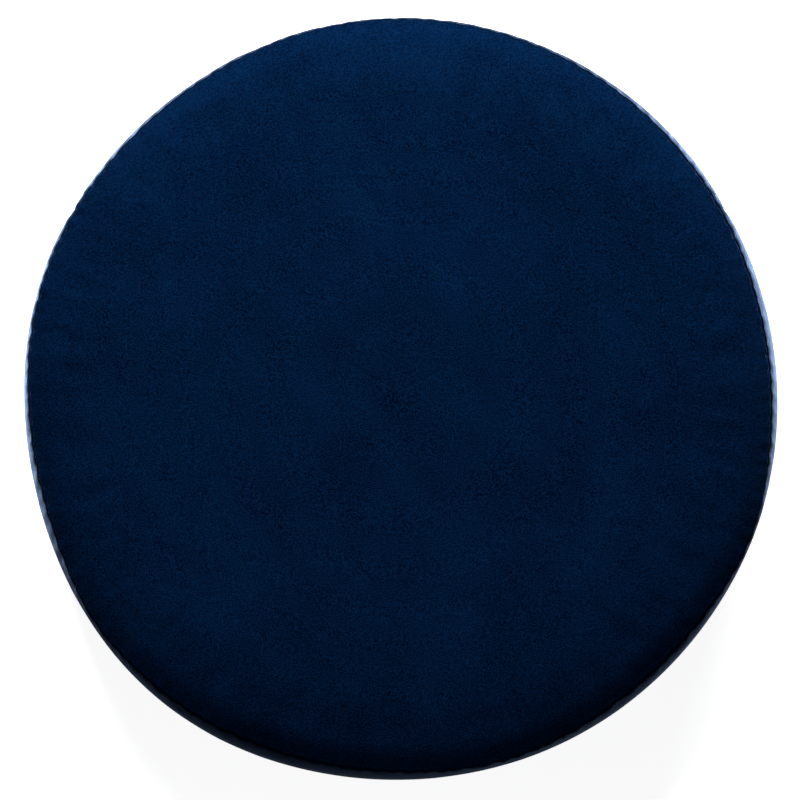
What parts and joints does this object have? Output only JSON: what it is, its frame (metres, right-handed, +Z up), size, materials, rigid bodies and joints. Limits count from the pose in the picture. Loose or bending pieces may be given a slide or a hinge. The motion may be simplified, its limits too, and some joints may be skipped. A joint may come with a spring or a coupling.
{
  "type": "seat cushion",
  "caption": "Round flat-topped seat cushion in velvet, with a boxed side band and a curved zip at the back.",
  "frame": {"origin": "centre of the base, on the surface the cushion lies on", "axes": "+Z up through the middle of the seat, -Y the front, +Y the back, where the zip is"},
  "size_m": [0.4, 0.4007, 0.08],
  "materials": {
    "velvet": "dark navy velvet, short pile with a pale sheen at its edges",
    "grip_canvas": "black woven base cloth with small grip dots",
    "thread": "dark navy sewing thread",
    "zip_tape": "dark navy woven tape",
    "zip_nylon": "dark navy nylon coil",
    "zip_metal": "nickel-plated zinc",
    "ribbon": "white satin ribbon, blank",
    "wadding": "white polyester wadding",
    "jersey": "grey knitted sleeve",
    "core_foam": "firm grey polyurethane foam",
    "comfort_foam": "soft cream polyurethane foam"
  },
  "bodies": {
    "cushion": {"top_panel": "velvet", "front_band": "velvet", "zip_band_upper": "velvet", "zip_band_lower": "velvet", "base_panel": "grip_canvas", "top_seam_thread": "thread", "base_seam_thread": "thread", "band_join_thread_right": "thread", "band_join_thread_left": "thread", "care_label": "ribbon", "zip_tape_upper": "zip_tape", "zip_tape_lower": "zip_tape", "zip_coil_upper": "zip_nylon", "zip_coil_lower": "zip_nylon", "zip_topstitch_upper": "thread", "zip_topstitch_lower": "thread", "zip_top_stop_upper": "zip_metal", "zip_top_stop_lower": "zip_metal", "zip_base_stop": "zip_metal", "foam_core": "core_foam", "comfort_foam": "comfort_foam", "inner_sleeve_cap": "jersey", "inner_sleeve_base": "jersey", "wadding_top": "wadding", "wadding_side": "wadding", "wadding_base": "wadding"},
    "slider": {"zip_slider": "zip_metal"},
    "pull": {"zip_pull_tab": "zip_metal"}
  },
  "joints": [
    {"name": "zip_travel", "type": "hinge", "parent": "cushion", "child": "slider", "pos_m": [0, 0, 0.026], "axis": [0, 0, 1], "range_deg": [0, 107.6], "deforming": ["zip_coil_upper", "zip_coil_lower"]},
    {"name": "pull_flip", "type": "hinge", "parent": "slider", "child": "pull", "pos_m": [0.16123, 0.11775, 0.026], "axis": [0, 0, -1], "range_deg": [0, 180]}
  ]
}
